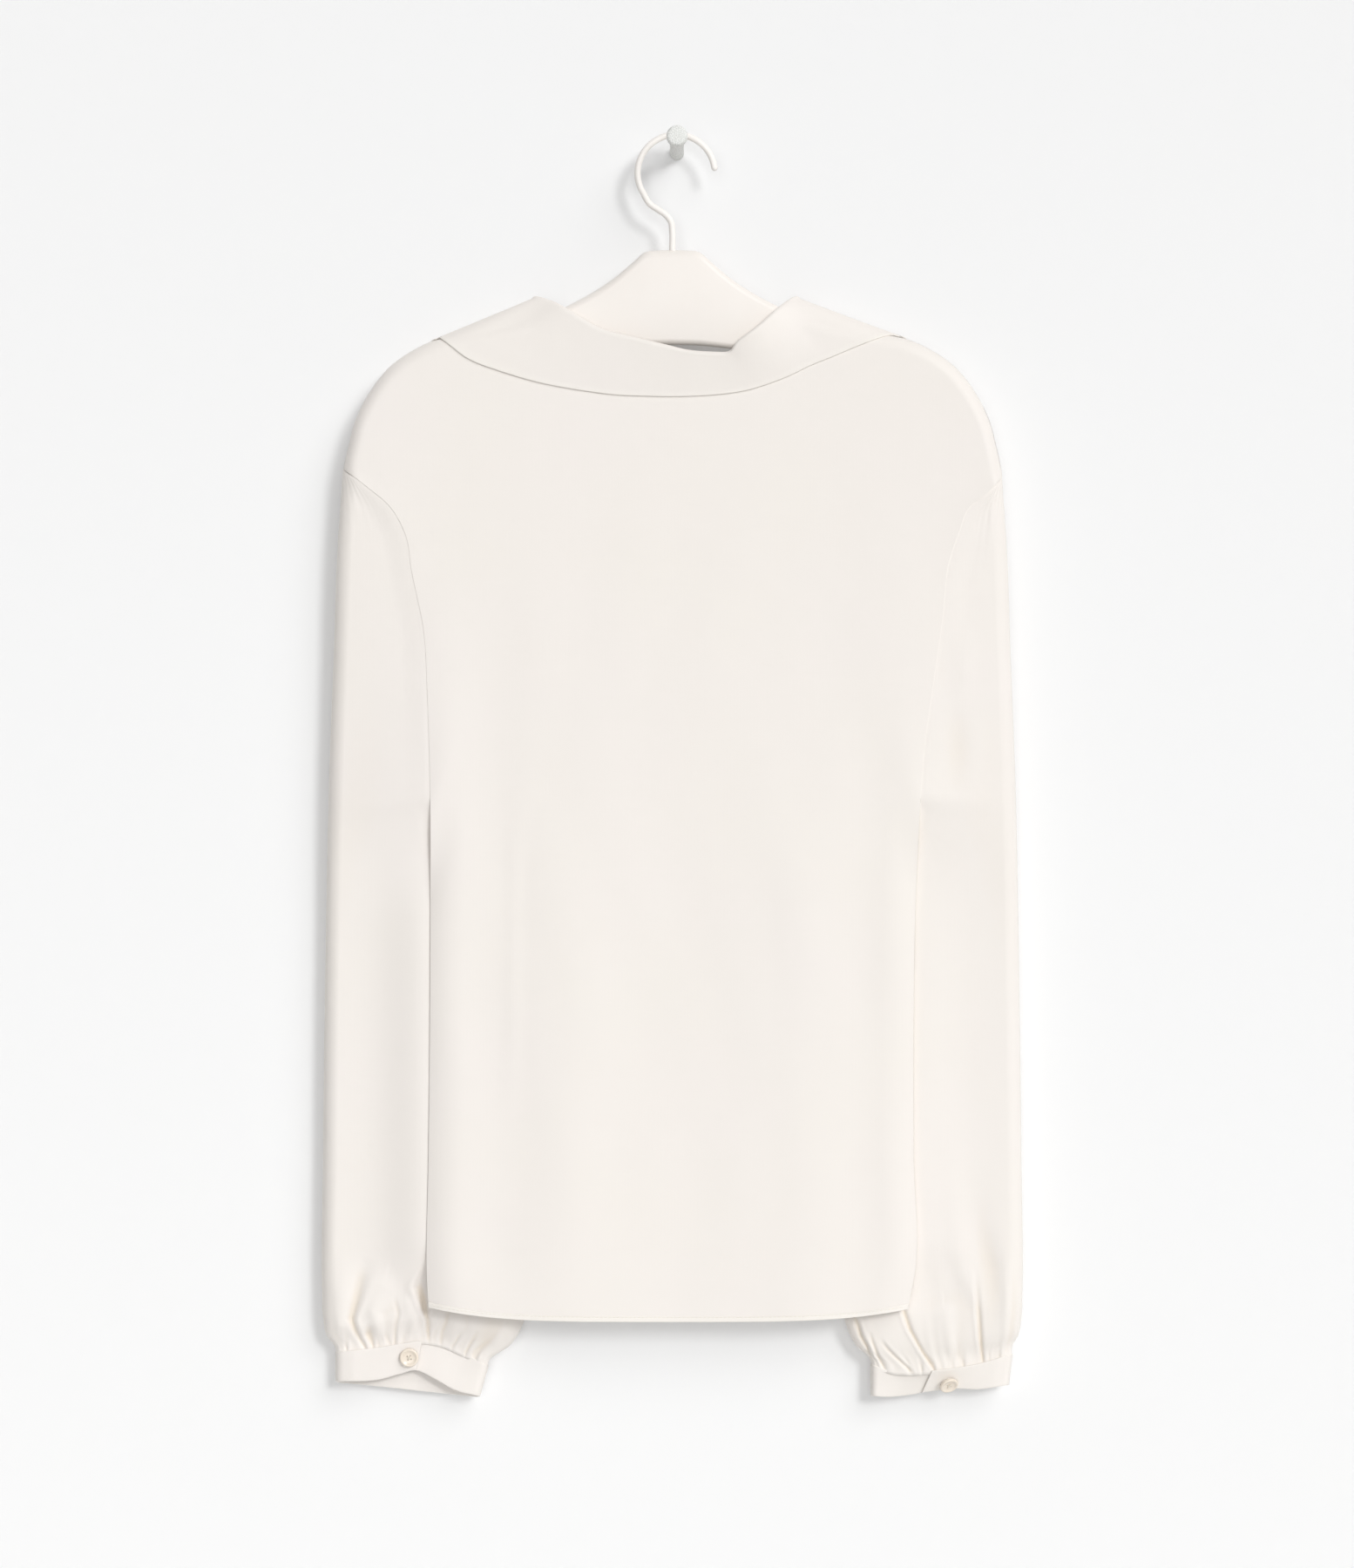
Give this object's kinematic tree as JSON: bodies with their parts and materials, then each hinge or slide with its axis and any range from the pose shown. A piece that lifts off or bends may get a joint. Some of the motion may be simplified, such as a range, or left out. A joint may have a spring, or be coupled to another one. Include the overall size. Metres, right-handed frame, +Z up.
{
  "type": "silk blouse on hanger",
  "caption": "Silk blouse with a fold-down collar and full sleeves gathered into buttoned cuffs, hanging back-out on a moulded hanger from a wall peg.",
  "frame": {"origin": "middle of the peg's flat wall end", "axes": "+Z up, +Y into the wall, so the blouse's back faces -Y; +X to the right as seen from -Y"},
  "size_m": [0.4469, 0.05, 0.8054],
  "materials": {
    "silk": "soft satin sheen",
    "button": "pearly gloss",
    "hanger": "satin",
    "hook": "satin paint",
    "peg": "matt speckled paint"
  },
  "bodies": {
    "root": {"back_panel": "silk", "front_panel": "silk", "collar": "silk", "sleeve_left": "silk", "sleeve_right": "silk", "cuff_left": "silk", "cuff_right": "silk", "button_left": "button", "button_right": "button", "hanger_body": "hanger", "hanger_hook": "hook", "wall_peg": "peg"}
  },
  "joints": []
}
